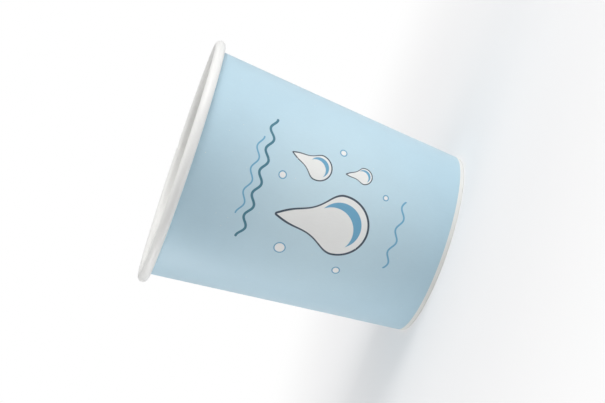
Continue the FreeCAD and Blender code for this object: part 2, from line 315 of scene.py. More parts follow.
# %% Knurls on the hem
KNURLS = 120
KNURL_DEPTH = 0.13
KNURL_SHOW = 0.016
KNURL_FADE = 0.8
KNURL_START = 0.9
KNURL_END = 0.5
KNURL_TOP = 5.6
on_hem = ease((-KNURL_START - up_sheet) / KNURL_FADE) * ease((up_sheet - up_sheet[-1]) / KNURL_END)
on_foot = ease((up_sheet - KNURL_FADE) / KNURL_FADE) * ease((KNURL_TOP - up_sheet) / KNURL_FADE)
knurl_depth = (KNURL_DEPTH * on_hem + KNURL_SHOW * on_foot)[None, :]
knurls = (np.cos(2 * np.pi * KNURLS * share) - 1) / 2 * knurl_depth
print(f"{KNURLS} knurls, {-knurls.min():.2f} mm deep on the hem")

# %% [markdown]
# The sheet gets its two faces by stepping half a thickness each way along the section's normal.
# The roller works on the printed face, so only that face has the knurls.

# %% Faces of the sheet
def carried(step):
    """The section, moved out by a step along its printed face's normal, at each turn: the radius
    times the cosine and sine of the turn, and the height."""
    reach_out = radius + step * section_face[:, 0][None, :] + out_of_round + hollows
    level = section[:, 1][None, :] + step * section_face[:, 1][None, :] + off_level
    return np.stack([reach_out * np.cos(theta), reach_out * np.sin(theta), level], axis=2)


printed_face = carried(lift + thickness / 2 + knurls)
plain_face = carried(lift - thickness / 2)
print(f"lowest point {printed_face[:, :, 2].min():.3f} mm, highest {plain_face[:, :, 2].max():.3f} mm")

# %% [markdown]
# Each point also remembers where it was on the flat blank before it was rolled: a cone unrolls
# into a fan whose arms meet at the cone's tip. So the print can be drawn flat, as a printer does,
# and never stretches. What follows an edge of the blank needs the way to that edge, so the points
# remember that too: from the near edge, from the far edge, and up the sheet.

# %% Flat blank
PRINT_MIDDLE = math.radians(270)
tip_to_foot = wall_foot[0] / math.sin(LEAN)
fan_turn = (theta - PRINT_MIDDLE) * math.sin(LEAN)
fan_up = np.broadcast_to(up_sheet[None, :], theta.shape)
fan_reach = tip_to_foot + fan_up
fan_across = fan_reach * np.sin(fan_turn)
fan_along = fan_reach * np.cos(fan_turn) - tip_to_foot
blank = np.stack([fan_across, fan_along, np.zeros_like(fan_along)], axis=2)
edges = np.stack([from_near_edge, from_far_edge, fan_up], axis=2)
fan_degrees = math.degrees(np.ptp(fan_turn))
print(f"flat blank {np.ptp(fan_across):.0f} mm wide, its arms {fan_degrees:.1f} degrees apart")

# %% [markdown]
# Both pieces become meshes through one helper. It takes points in millimetres, groups of faces
# with a finish each, and any values that the materials need, and keeps cut edges sharp by angle
# while the faces between stay smooth.

# %% Make a mesh from a grid
SHARP_ANGLE = math.radians(50)


def grid_faces(numbers):
    """Four-sided faces between neighbouring rows and columns of a grid of point numbers."""
    corners = (numbers[:-1, :-1], numbers[1:, :-1], numbers[1:, 1:], numbers[:-1, 1:])
    return np.stack(corners, axis=2).reshape(-1, len(corners))


def make_piece(name, points, face_groups, values):
    """A mesh object from points in millimetres, faces by finish and named values on the points."""
    mesh = bpy.data.meshes.new(name)
    faces = [face for group, _ in face_groups for face in group.tolist()]
    mesh.from_pydata((points * MM).tolist(), [], faces)
    finish = np.concatenate([np.full(len(group), slot) for group, slot in face_groups])
    mesh.polygons.foreach_set("material_index", finish.astype(np.int32))
    for value_name, array in values.items():
        store = mesh.attributes.new(value_name, "FLOAT_VECTOR", "POINT")
        store.data.foreach_set("vector", array.astype(np.float32).ravel())
    mesh.polygons.foreach_set("use_smooth", np.ones(len(mesh.polygons), dtype=bool))
    mesh.set_sharp_from_angle(angle=SHARP_ANGLE)
    mesh.update()
    piece = bpy.data.objects.new(name, mesh)
    bpy.context.scene.collection.objects.link(piece)
    triangles = sum(len(face) - 2 for face in faces)
    print(f"{name}: {len(points)} points, {triangles} triangles")
    return piece


# %% [markdown]
# A closed solid has a volume, and its sign shows at once if the faces look the wrong way. Board is
# sold by weight, so the volume is also a check on the thickness.

# %% Measure the board
def signed_volume(piece):
    """A sixth of the sum, over all triangles, of the corners' triple product, in cubic
    millimetres: above zero when the faces point outward."""
    piece.data.calc_loop_triangles()
    count = len(piece.data.loop_triangles)
    corners = np.empty(count * 3, dtype=np.int32)
    piece.data.loop_triangles.foreach_get("vertices", corners)
    places = np.empty(len(piece.data.vertices) * 3)
    piece.data.vertices.foreach_get("co", places)
    a, b, c = places.reshape(-1, 3)[corners.reshape(-1, 3)].transpose(1, 0, 2)
    return float(np.einsum("ij,ij->i", a, np.cross(b, c)).sum() / 6 / MM ** 3)


sheet_width = (turn_span * radius)[0, 1:]
sheet_area = float((sheet_width * np.diff(run)).sum())
print(f"a flat sheet of this size holds {sheet_area * BOARD:.0f} cubic mm of board")

# %% [markdown]
# The sidewall's faces fall into three finishes: the printed face, the white coated face, which
# the curl turns to the outside of the bead, and the raw cut edges. Joining the two faces along all
# four cut edges makes a closed solid, as the board is.

# %% Sidewall
PRINTED, COATED, CUT = 0, 1, 2
numbers = np.arange(theta.size).reshape(theta.shape)
lower = numbers + theta.size
strips = [
    np.stack([numbers[:, 0], lower[:, 0]], axis=1),
    np.stack([lower[:, -1], numbers[:, -1]], axis=1),
    np.stack([lower[0], numbers[0]], axis=1),
    np.stack([numbers[-1], lower[-1]], axis=1),
]
cut_faces = np.concatenate([grid_faces(strip) for strip in strips])
wall_points = np.concatenate([printed_face.reshape(-1, 3), plain_face.reshape(-1, 3)])
wall_faces = [(grid_faces(numbers)[:, ::-1], PRINTED), (grid_faces(lower), COATED), (cut_faces, CUT)]
wall_values = {
    "blank": np.concatenate([blank.reshape(-1, 3)] * 2),
    "edges": np.concatenate([edges.reshape(-1, 3)] * 2),
}
sidewall = make_piece("rolled_sidewall", wall_points, wall_faces, wall_values)
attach(sidewall, "root")
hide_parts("sidewall")
print(f"sidewall holds {signed_volume(sidewall):.0f} cubic mm of board")

# %% [markdown]
# The bottom disc is a turned shape with poles: a closed outline from the middle of the upper face,
# over the bend, down the skirt and back underneath. The skirt leans as the wall does and lies
# against its inside. The rings on the flat part are closer together near the edge, where it bends.

# %% Outline of the bottom disc
FLAT_RINGS = 16
OUTER_STEPS = 8
INNER_STEPS = 6
SKIRT_STEPS = 6
outer_bend = BOTTOM_BEND + BOTTOM_BOARD
bend_middle = on_wall(BOTTOM_TOP - outer_bend, BOARD + PASTE_GAP + outer_bend)
skirt_outer = on_wall(SKIRT_FOOT + BOTTOM_BOARD * math.sin(LEAN), BOARD + PASTE_GAP)
skirt_inner = skirt_outer - OFF_WALL * BOTTOM_BOARD
flat = np.sqrt(np.linspace(0.0, 1.0, FLAT_RINGS))[1:-1, None]
top_middle = np.array([0.0, BOTTOM_TOP])
low_middle = np.array([0.0, BOTTOM_TOP - BOTTOM_BOARD])
outline = np.concatenate([
    top_middle + flat * (bend_middle + [0, outer_bend] - top_middle),
    bend_stretch(bend_middle, outer_bend, QUARTER_ROUND, -lean_degrees, OUTER_STEPS, AWAY)[0],
    straight_stretch(bend_middle + OFF_WALL * outer_bend, skirt_outer, SKIRT_STEPS, OFF_WALL)[0],
    skirt_outer[None, :],
    straight_stretch(skirt_inner, bend_middle + OFF_WALL * BOTTOM_BEND, SKIRT_STEPS, OFF_WALL)[0],
    bend_stretch(bend_middle, BOTTOM_BEND, -lean_degrees, QUARTER_ROUND, INNER_STEPS, AWAY)[0],
    (low_middle + flat * (bend_middle + [0, BOTTOM_BEND] - low_middle))[::-1],
])
print(f"outline of {len(outline)} points, skirt {BOTTOM_TOP - skirt_outer[1]:.1f} mm deep")

# %% [markdown]
# The disc is drawn from a flat round of board, so its edge has more board than it needs and the
# spare gathers in fine pleats where it turns down. They push the skirt in and out and the bend up
# and down. The flat part sinks a little in the middle: its depth there, times one less the square
# of the share of the way out.

# %% Pleats and dish
DISC_AROUND = 480
DISH = 0.22
PLEATS = [(83, 0.5), (131, 0.3), (57, 0.2)]
PLEAT_DEPTH = 0.028
PLEAT_REACH = 2.2
disc_turn = np.linspace(0, 2 * np.pi, DISC_AROUND, endpoint=False)[:, None]
gather = sum(size * np.cos(count * disc_turn + draw.uniform(0, 2 * np.pi)) for count, size in PLEATS)
edge_share = ease((outline[:, 0] - bend_middle[0] + PLEAT_REACH) / PLEAT_REACH)[None, :]
pleats = PLEAT_DEPTH * gather * edge_share
dish = DISH * (1 - (outline[:, 0] / bend_middle[0]) ** 2).clip(0)[None, :]
disc_radius = outline[:, 0][None, :] + pleats * (outline[:, 1] < bend_middle[1])
disc_level = outline[:, 1][None, :] - dish + pleats * (outline[:, 1] > bend_middle[1])
disc_across = disc_radius * np.cos(disc_turn)
disc_along = disc_radius * np.sin(disc_turn)
disc_grid = np.stack([disc_across, disc_along, disc_level], axis=2)
print(f"pleats up to {np.abs(pleats).max():.3f} mm, dish {DISH} mm")

# %% [markdown]
# The last column of the grid joins the first, and each pole is one point with a fan of triangles,
# so there is no hole and no doubled point.

# %% Bottom disc
disc_numbers = np.arange(disc_across.size).reshape(disc_across.shape)
wrapped = np.concatenate([disc_numbers, disc_numbers[:1]])
top_pole = disc_numbers.size
low_pole = top_pole + 1
fan_top = np.stack([wrapped[:-1, 0], wrapped[1:, 0], np.full(DISC_AROUND, top_pole)], axis=1)
fan_low = np.stack([wrapped[1:, -1], wrapped[:-1, -1], np.full(DISC_AROUND, low_pole)], axis=1)
poles = np.array([[0, 0, BOTTOM_TOP - DISH], [0, 0, BOTTOM_TOP - BOTTOM_BOARD - DISH]])
disc_points = np.concatenate([disc_grid.reshape(-1, 3), poles])
disc_faces = [(grid_faces(wrapped)[:, ::-1], 0), (fan_top, 0), (fan_low, 0)]
bottom = make_piece("drawn_bottom", disc_points, disc_faces, {})
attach(bottom, "root")
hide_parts("bottom_disc")
print(f"bottom disc holds {signed_volume(bottom):.0f} cubic mm of board")

# %% [markdown]
# Finishes are node trees, and most of their steps are sums. Written node by node, a formula can't
# be read any more, so a number that changes over the surface gets a small class of its own: each
# plus, minus, times or divide between two of them adds one Math node and links it. The formulas
# below then read like formulas, and Blender still gets plain nodes.

# %% Numbers that change over a surface
class Field:
    """A number that changes over a surface: the output of a node in a tree."""

    def __init__(self, tree, socket):
        self.tree = tree
        self.socket = socket

    def step(self, operation, *others, clamp=False):
        """One Math node that works on this number and the others."""
        node = self.tree.nodes.new("ShaderNodeMath")
        node.operation = operation
        node.use_clamp = clamp
        for place, value in enumerate((self, *others)):
            plug(self.tree, node.inputs[place], value)
        return Field(self.tree, node.outputs[0])

    def __add__(self, other):
        """This plus the other."""
        return self.step("ADD", other)

    def __sub__(self, other):
        """This less the other."""
        return self.step("SUBTRACT", other)

    def __mul__(self, other):
        """This times the other."""
        return self.step("MULTIPLY", other)

    def __truediv__(self, other):
        """This over the other."""
        return self.step("DIVIDE", other)

    def __abs__(self):
        """This without its sign."""
        return self.step("ABSOLUTE")


print(Field.__doc__)

# %% [markdown]
# Any input of a node takes a plain value, a node's output or one of these numbers, and plugging
# them in is always the same step, so it has one helper. The length of two numbers is the first
# formula that uses them.

# %% Plug values in
def plug(tree, socket, value):
    """Links a socket to a number or node output, or sets it to a plain value."""
    if isinstance(value, Field):
        tree.links.new(value.socket, socket)
    elif isinstance(value, bpy.types.NodeSocket):
        tree.links.new(value, socket)
    else:
        socket.default_value = value


def length(across, up):
    """The root of the sum of two squares."""
    return (across * across + up * up).step("SQRT")


print("helpers so far:", plug.__name__, "and", length.__name__)

# %% [markdown]
# Three more helpers: one adds any node with its settings and inputs, one starts a node group with
# its named sockets, and one places a group in a tree.

# %% Helpers for node trees
FLOAT, VECTOR = "NodeSocketFloat", "NodeSocketVector"


def add(tree, kind, inputs, **settings):
    """A node of a kind, with its settings made and its inputs plugged; gives its outputs."""
    node = tree.nodes.new(kind)
    for setting, value in settings.items():
        setattr(node, setting, value)
    for key, value in inputs.items():
        plug(tree, node.inputs[key], value)
    return node.outputs


def new_group(name, inputs, outputs):
    """An empty node group with its named inputs, as sockets, and its output node."""
    group = bpy.data.node_groups.new(name, "ShaderNodeTree")
    for label, kind, value in inputs:
        group.interface.new_socket(label, in_out="INPUT", socket_type=kind).default_value = value
    for label in outputs:
        group.interface.new_socket(label, in_out="OUTPUT", socket_type=FLOAT)
    given = group.nodes.new("NodeGroupInput").outputs
    return group, given, group.nodes.new("NodeGroupOutput").inputs


def place_group(tree, group, inputs):
    """A group placed in a tree with its own values; gives its outputs as numbers by name."""
    outputs = add(tree, "ShaderNodeGroup", {}, node_tree=group)
    for key, value in inputs.items():
        plug(tree, outputs[0].node.inputs[key], value)
    return {output.name: Field(tree, output) for output in outputs}


print("node groups so far:", len(bpy.data.node_groups))

# %% [markdown]
# A printer names a colour by three levels from 0 to 255, as a screen shows it. Blender mixes light,
# and light isn't even in those levels, so one helper turns them into the linear values that nodes
# take.

# %% Colours of ink
FULL_LEVEL = 255
DARK_LEVEL = 0.04045
DARK_SLOPE = 12.92
LEVEL_SHIFT = 0.055
LEVEL_POWER = 2.4
MIDDLE_LEVEL = 128


def ink(red, green, blue):
    """The linear colour that renders as a colour given from 0 to 255: each level's share of the
    full one, plus the shift, over one plus the shift, to the power. A very dark one is only
    divided by the slope."""
    levels = np.array([red, green, blue]) / FULL_LEVEL
    bright = ((levels + LEVEL_SHIFT) / (1 + LEVEL_SHIFT)) ** LEVEL_POWER
    linear = np.where(levels <= DARK_LEVEL, levels / DARK_SLOPE, bright)
    return (*linear.tolist(), 1.0)


middle_grey = ink(MIDDLE_LEVEL, MIDDLE_LEVEL, MIDDLE_LEVEL)
print(f"a level of {MIDDLE_LEVEL} is {middle_grey[0]:.3f} of full light")

# %% [markdown]
# Every face of the cup is board, so all the finishes share one group for it. Board is a mat of
# fibres: slow cloudy patches where it is denser, and fine streaks that mostly run up the cup. An
# image of paper would do, but it would blur close up, and two noises don't. The group puts out a
# shade to multiply colours by, a height for the bump, and the patches themselves.

# %% Board fibre
HALF = 0.5
PATCHES = {"Scale": 140.0, "Detail": 3.0}
FIBRES = {"Scale": 2600.0, "Detail": 4.0, "Roughness": 0.62}
FIBRE_STRETCH = (1.0, 1.0, 0.28)


def board_group():
    """Shade is one plus the patches and the fibres, each less a half and times its share. Height
    is the grain times the fibres less a half, with the patches added after that."""
    inputs = [(label, FLOAT, 1.0) for label in ("Cloud", "Streak", "Grain")]
    group, given, out = new_group("board fibre", inputs, ["Shade", "Height", "Patches"])
    place = add(group, "ShaderNodeTexCoord", {})["Object"]
    patches = Field(group, add(group, "ShaderNodeTexNoise", {"Vector": place, **PATCHES})[0])
    stretched = add(group, "ShaderNodeMapping", {"Vector": place, "Scale": FIBRE_STRETCH})[0]
    fibres = Field(group, add(group, "ShaderNodeTexNoise", {"Vector": stretched, **FIBRES})[0])
    cloud = (patches - HALF) * given["Cloud"]
    streak = (fibres - HALF) * given["Streak"]
    plug(group, out["Shade"], cloud + streak + 1.0)
    plug(group, out["Height"], (fibres - HALF) * given["Grain"] + patches)
    plug(group, out["Patches"], patches)
    return group


BOARD_FIBRE = board_group()
print(f"board fibre: {len(BOARD_FIBRE.nodes)} nodes")

# %% [markdown]
# A press never wets every fibre. Here and there the ink misses a speck a tenth of a millimetre
# wide and the white board looks through. Each cell of a Voronoi pattern has random numbers of its
# own: one says if the cell has a speck at all, so they stay sparse, and one says how big it is.

# %% Missed specks
SPECK_CELLS = 760.0
SPECK_CHANCE = 0.22
SPECK_SIZE = 0.10
SPECK_LEAST = 0.35
SPECK_EDGE = 1.6
SPECK_STRENGTH = 0.7


def speck_group():
    """The amount is the edge less the edge times the distance over the speck's size, between none
    and full, and times the strength. It is none in cells whose first random number is over the
    chance. The size is the size given, times the second random number and a least share."""
    inputs = [("Chance", FLOAT, SPECK_CHANCE), ("Size", FLOAT, SPECK_SIZE)]
    group, given, out = new_group("missed specks of ink", inputs, ["Amount"])
    place = add(group, "ShaderNodeTexCoord", {})["Object"]
    cells = add(group, "ShaderNodeTexVoronoi", {"Vector": place, "Scale": SPECK_CELLS})
    draws = add(group, "ShaderNodeSeparateColor", {"Color": cells["Color"]})
    first, second = Field(group, draws[0]), Field(group, draws[1])
    size = (second + SPECK_LEAST) * given["Size"]
    share = Field(group, cells["Distance"]) / size * SPECK_EDGE * -1.0
    spot = share.step("ADD", SPECK_EDGE, clamp=True)
    chosen = first.step("LESS_THAN", given["Chance"])
    plug(group, out["Amount"], spot * chosen * SPECK_STRENGTH)
    return group


MISSED_SPECKS = speck_group()
print(f"missed specks: {len(MISSED_SPECKS.nodes)} nodes")

# %% [markdown]
# The print is drawn on the flat blank in millimetres, as a printer lays it out, and each shape is
# given by its distance: below zero inside it, above zero outside. A distance makes a crisp fill,
# an outline of even width or a soft edge, however near the camera comes. Circles come first.

# %% Circle
SHAPE_PLACE = [("Place", VECTOR, (0.0, 0.0, 0.0)), ("Middle", VECTOR, (0.0, 0.0, 0.0))]


def from_middle(group, given):
    """Across and up from a shape's middle."""
    inputs = {0: given["Place"], 1: given["Middle"]}
    offset = add(group, "ShaderNodeVectorMath", inputs, operation="SUBTRACT")[0]
    axes = add(group, "ShaderNodeSeparateXYZ", {"Vector": offset})
    return Field(group, axes[0]), Field(group, axes[1])


def circle_group():
    """The length from the middle less the radius."""
    group, given, out = new_group("circle", [*SHAPE_PLACE, ("Radius", FLOAT, 1.0)], ["Distance"])
    across, up = from_middle(group, given)
    plug(group, out["Distance"], length(across, up) - given["Radius"])
    return group


CIRCLE = circle_group()
print(f"circle: {len(CIRCLE.nodes)} nodes")

# %% [markdown]
# A drop is a large circle and a small one, joined by two straight flanks that touch both, and its
# sides are pressed in for a waist. Which of the three parts is nearest depends on how far along
# the flank a point is, so the group works out all three distances and picks one.

# %% Drop
DROP_WAIST = 0.30
DROP_TIP = 0.07


def drop_group():
    """Across is first divided by one less the waist times the square of a sine along the reach.
    Narrow is the difference of the radii over the reach, and flank the root of one less its
    square. Beside the flank, the distance is flank times across plus narrow times up, less the
    radius. Below it, the distance is to the large circle, and above it, to the tip's circle."""
    inputs = [(label, FLOAT, 1.0) for label in ("Radius", "Reach", "Turn")]
    group, given, out = new_group("drop", [*SHAPE_PLACE, *inputs], ["Distance"])
    radius, reach, turn = (Field(group, given[label]) for label, _, _ in inputs)
    right, above = from_middle(group, given)
    cosine, sine = turn.step("COSINE"), turn.step("SINE")
    up = right * sine + above * cosine
    swell = (up.step("DIVIDE", reach, clamp=True) * math.pi).step("SINE")
    across = abs(right * cosine - above * sine) / (swell * swell * -DROP_WAIST + 1.0)
    tip = radius * DROP_TIP
    narrow = (radius - tip) / reach
    flank = (narrow * narrow * -1.0 + 1.0).step("SQRT")
    along = flank * up - narrow * across
    to_round = length(across, up) - radius
    to_flank = flank * across + narrow * up - radius
    to_tip = length(across, up - reach) - tip
    past_round = along.step("GREATER_THAN", 0.0)
    past_flank = along.step("GREATER_THAN", flank * reach)
    lower = add(group, "ShaderNodeMix", {"Factor": past_round, "A": to_round, "B": to_flank})[0]
    whole = add(group, "ShaderNodeMix", {"Factor": past_flank, "A": lower, "B": to_tip})[0]
    plug(group, out["Distance"], whole)
    return group


DROP = drop_group()
print(f"drop: {len(DROP.nodes)} nodes")

# %% [markdown]
# A wave line is a sine with round ends. The gap between a point and the sine is measured straight
# up, which is too far on the steep parts, so it is divided by the sine's slant to keep the line
# evenly wide.

# %% Wave line
FULL_TURN = 2 * math.pi


def wave_group():
    """The gap is up less swing times the sine, over the root of one plus the slope squared. The
    distance is the length of the gap and of what is past the end, less half the width."""
    inputs = [(label, FLOAT, 1.0) for label in ("Half", "Wave", "Swing", "Width")]
    group, given, out = new_group("wave line", [*SHAPE_PLACE, *inputs], ["Distance"])
    half, wave, swing, width = (Field(group, given[label]) for label, _, _ in inputs)
    across, up = from_middle(group, given)
    phase = across * FULL_TURN / wave
    slope = phase.step("COSINE") * swing * FULL_TURN / wave
    slant = length(slope, slope * 0.0 + 1.0)
    gap = abs(up - phase.step("SINE") * swing) / slant
    past_end = (abs(across) - half).step("MAXIMUM", 0.0)
    plug(group, out["Distance"], length(gap, past_end) - width * HALF)
    return group


WAVE_LINE = wave_group()
print(f"wave line: {len(WAVE_LINE.nodes)} nodes")

# %% [markdown]
# One more group turns a distance into ink: how much of it is laid down, as a fill or as an outline
# just inside the shape, with an edge as soft as ink spreads, which is less than a tenth of a
# millimetre.

# %% Ink from a distance
OUTLINE_WIDTH = 0.5
INK_SPREAD = 0.07


def ink_group():
    """Fill is a half less the distance over the spread. Line is the same for the distance to the
    middle of the outline, less half its width. Both stay between none and full."""
    widths = [("Width", FLOAT, OUTLINE_WIDTH), ("Spread", FLOAT, INK_SPREAD)]
    inputs = [("Distance", FLOAT, 0.0), *widths]
    group, given, out = new_group("ink", inputs, ["Fill", "Line"])
    distance, width, spread = (Field(group, given[label]) for label, _, _ in inputs)
    to_line = abs(distance + width * HALF) - width * HALF
    plug(group, out["Fill"], (distance / spread * -1.0).step("ADD", HALF, clamp=True))
    plug(group, out["Line"], (to_line / spread * -1.0).step("ADD", HALF, clamp=True))
    return group


INK = ink_group()
print("groups:", sorted(group.name for group in bpy.data.node_groups))

# %% [markdown]
# Seven inks and whites, as levels from 0 to 255. The pale blue of the flood is the cup's own
# colour, and round the drops it is painted a little lighter: a painted pool of light. Whites are
# never written as full white, because no board or ink is.

# %% Inks
FLOOD = ink(187, 215, 228)
# Painted light: the flood's blue as it looks in the painted pool of light round the drops.
FLOOD_PAINTED_LIGHT = ink(202, 227, 237)
DROP_WHITE = ink(242, 242, 239)
OUTLINE = ink(62, 78, 94)
BLUE = ink(112, 172, 204)
TEAL = ink(70, 126, 146)
BARE_BOARD = ink(238, 238, 233)
print("the flood in linear light:", [round(level, 3) for level in FLOOD[:3]])

# %% [markdown]
# The layout, in millimetres on the flat blank: across from the middle of the front, and up from
# the foot. White drops with dark outlines stand on the pale blue with a few bubbles, between lines
# of waves. The blue floods the whole wall and stops just short of the foot, so that a thin line of
# bare board shows there.

# %% Layout of the print
FLOOD_START = 0.9
FLOOD_END = 79.0
FLOOD_EDGE = 0.05
# Where the painted pool of light round the drops lies, and how softly it fades out.
PAINTED_LIGHT_PATCH = {"Middle": (0.5, 36.0, 0.0), "Radius": 20.0}
PAINTED_LIGHT_FADE = 26.0
DROPS = [
    {"Middle": (-3.2, 31.4, 0.0), "Radius": 8.6, "Reach": 17.4, "Turn": math.radians(-7)},
    {"Middle": (10.4, 41.4, 0.0), "Radius": 3.9, "Reach": 8.2, "Turn": math.radians(13)},
    {"Middle": (12.2, 28.4, 0.0), "Radius": 2.5, "Reach": 5.2, "Turn": math.radians(-12)},
]
BUBBLES = [
    {"Middle": (-14.4, 44.4, 0.0), "Radius": 1.7},
    {"Middle": (-15.8, 27.2, 0.0), "Radius": 1.2},
    {"Middle": (17.0, 35.4, 0.0), "Radius": 1.1},
    {"Middle": (5.2, 50.6, 0.0), "Radius": 1.2},
    {"Middle": (8.2, 21.0, 0.0), "Radius": 0.9},
]
BUBBLE_LINE = 0.34
WAVE = 6.4
WAVES = [
    ({"Middle": (2.6, 56.2, 0.0), "Half": 17.6, "Wave": WAVE, "Swing": 0.80, "Width": 0.70}, TEAL),
    ({"Middle": (2.6, 58.8, 0.0), "Half": 11.2, "Wave": WAVE, "Swing": 0.70, "Width": 0.45}, BLUE),
    ({"Middle": (-0.8, 15.2, 0.0), "Half": 9.6, "Wave": WAVE, "Swing": 0.70, "Width": 0.50}, BLUE),
]
print(f"{len(DROPS)} drops, {len(BUBBLES)} bubbles and {len(WAVES)} waves")

# %% [markdown]
# A printer lays inks one over another, and so do these helpers: each takes the colour so far, asks
# for the shape's distance, and gives back the colour with that shape printed over it. The first
# lays one colour over another, and the next two do it for all the waves and all the bubbles.

# %% One ink over another
def print_over(tree, amount, under_colour, over_colour):
    """The under colour times one less the amount, plus the over colour times the amount."""
    outputs = add(tree, "ShaderNodeMix", {}, data_type="RGBA")
    sockets = [socket for socket in outputs[0].node.inputs if socket.enabled]
    for socket, value in zip(sockets, (amount, under_colour, over_colour)):
        plug(tree, socket, value)
    return next(socket for socket in outputs if socket.enabled)


def lay_waves(tree, place, colour):
    """Each wave line, filled with its own ink."""
    for shape, line_ink in WAVES:
        distance = place_group(tree, WAVE_LINE, {"Place": place, **shape})["Distance"]
        laid = place_group(tree, INK, {"Distance": distance})
        colour = print_over(tree, laid["Fill"], colour, line_ink)
    return colour


def lay_bubbles(tree, place, colour):
    """Each bubble, white with a thin blue outline."""
    for shape in BUBBLES:
        distance = place_group(tree, CIRCLE, {"Place": place, **shape})["Distance"]
        laid = place_group(tree, INK, {"Distance": distance, "Width": BUBBLE_LINE})
        colour = print_over(tree, laid["Fill"], colour, DROP_WHITE)
        colour = print_over(tree, laid["Line"], colour, BLUE)
    return colour


print(f"waves are {WAVE} mm long, bubbles have outlines {BUBBLE_LINE} mm wide")

# %% [markdown]
# A drop has a dark outline that grows a little with its size, and a crescent of blue low on one
# side for its depth. The crescent is what is left of a circle when another of the same size, moved
# up and to the left, is cut out of it.

# %% Drops in ink
CRESCENT_SIZE = 0.74
CRESCENT_MOVE = (-0.22, 0.20, 0.0)
DROP_LINE = 0.18
DROP_LINE_GROWTH = 0.045


def lay_drops(tree, place, colour):
    """Each drop, white, then its crescent, then its outline. The crescent's distance is the larger
    of the one to its circle and minus the one to the circle cut out."""
    for shape in DROPS:
        distance = place_group(tree, DROP, {"Place": place, **shape})["Distance"]
        width = DROP_LINE + DROP_LINE_GROWTH * shape["Radius"]
        laid = place_group(tree, INK, {"Distance": distance, "Width": width})
        crescent_radius = CRESCENT_SIZE * shape["Radius"]
        inner = {"Place": place, "Middle": shape["Middle"], "Radius": crescent_radius}
        moved = (np.array(shape["Middle"]) + np.array(CRESCENT_MOVE) * shape["Radius"]).tolist()
        to_inner = place_group(tree, CIRCLE, inner)["Distance"]
        to_cut_out = place_group(tree, CIRCLE, {**inner, "Middle": moved})["Distance"]
        crescent = to_inner.step("MAXIMUM", to_cut_out * -1.0)
        colour = print_over(tree, laid["Fill"], colour, DROP_WHITE)
        shaded = place_group(tree, INK, {"Distance": crescent})["Fill"]
        colour = print_over(tree, shaded, colour, BLUE)
        colour = print_over(tree, laid["Line"], colour, OUTLINE)
    return colour


widest = DROP_LINE + DROP_LINE_GROWTH * DROPS[0]["Radius"]
print(f"the largest drop has an outline {widest:.2f} mm wide")

# %% [markdown]
# All finishes end the same way: the colour is shaded by the board, the shine varies a little with
# its patches, and the fibres raise a fine bump. So that is one helper too.

# %% From board to shader
SHINE_LEVEL = 0.45


def new_finish(name):
    """An empty material, its node tree and its shader's inputs."""
    material = bpy.data.materials.new(name)
    material.use_nodes = True
    return material, material.node_tree, material.node_tree.nodes["Principled BSDF"].inputs


def dress(tree, surface, colour, board, rough, bump):
    """The colour times the shade, the least roughness plus the patches times its spread, and the
    bump of the height."""
    plain = not isinstance(colour, bpy.types.NodeSocket)
    start = colour[:3] if plain else colour
    shaded = {0: start, "Scale": board["Shade"]}
    plug(tree, surface["Base Color"], add(tree, "ShaderNodeVectorMath", shaded, operation="SCALE")[0])
    least, spread = rough
    plug(tree, surface["Roughness"], board["Patches"] * spread + least)
    size, strength = bump
    raised = {"Strength": strength, "Distance": size, "Height": board["Height"]}
    plug(tree, surface["Normal"], add(tree, "ShaderNodeBump", raised)[0])
    surface["Specular IOR Level"].default_value = SHINE_LEVEL


print("shine level of board:", SHINE_LEVEL)

# %% [markdown]
# The printed face reads its place from the flat blank that the sheet's points remember. The ink is
# a thin satin film: a little smoother than bare board, with the grain still showing through. First
# comes the drawing, from the flood up.

# %% Drawing on the blank
def lay_drawing(tree, place):
    """The flood, with a painted pool of light round the drops, then the waves, the bubbles and the
    drops over it.
    """
    from_patch = place_group(tree, CIRCLE, {"Place": place, **PAINTED_LIGHT_PATCH})["Distance"]
    # Painted light: how much of the painted pool of light lies on the flood at this place.
    light = place_group(tree, INK, {"Distance": from_patch, "Spread": PAINTED_LIGHT_FADE})["Fill"]
    colour = print_over(tree, light, FLOOD, FLOOD_PAINTED_LIGHT)
    colour = lay_waves(tree, place, colour)
    colour = lay_bubbles(tree, place, colour)
    return lay_drops(tree, place, colour)


print(f"the flood reaches from {FLOOD_START} to {FLOOD_END} mm up the sheet")

# %% [markdown]
# Then the board looks through it in three places: beyond the edges of the flood, in the specks
# that the ink missed, and in a hair of a line along the outer edge of the lap, where the knife that
# cut the blank chipped the ink. The grain makes that line uneven.

# %% Printed board
PRINTED_FIBRE = {"Cloud": 0.05, "Streak": 0.05, "Grain": 0.8}
PRINTED_ROUGH = (0.32, 0.14)
PRINTED_BUMP = (0.04 * MM, 0.35)
CHIPPED = 0.40


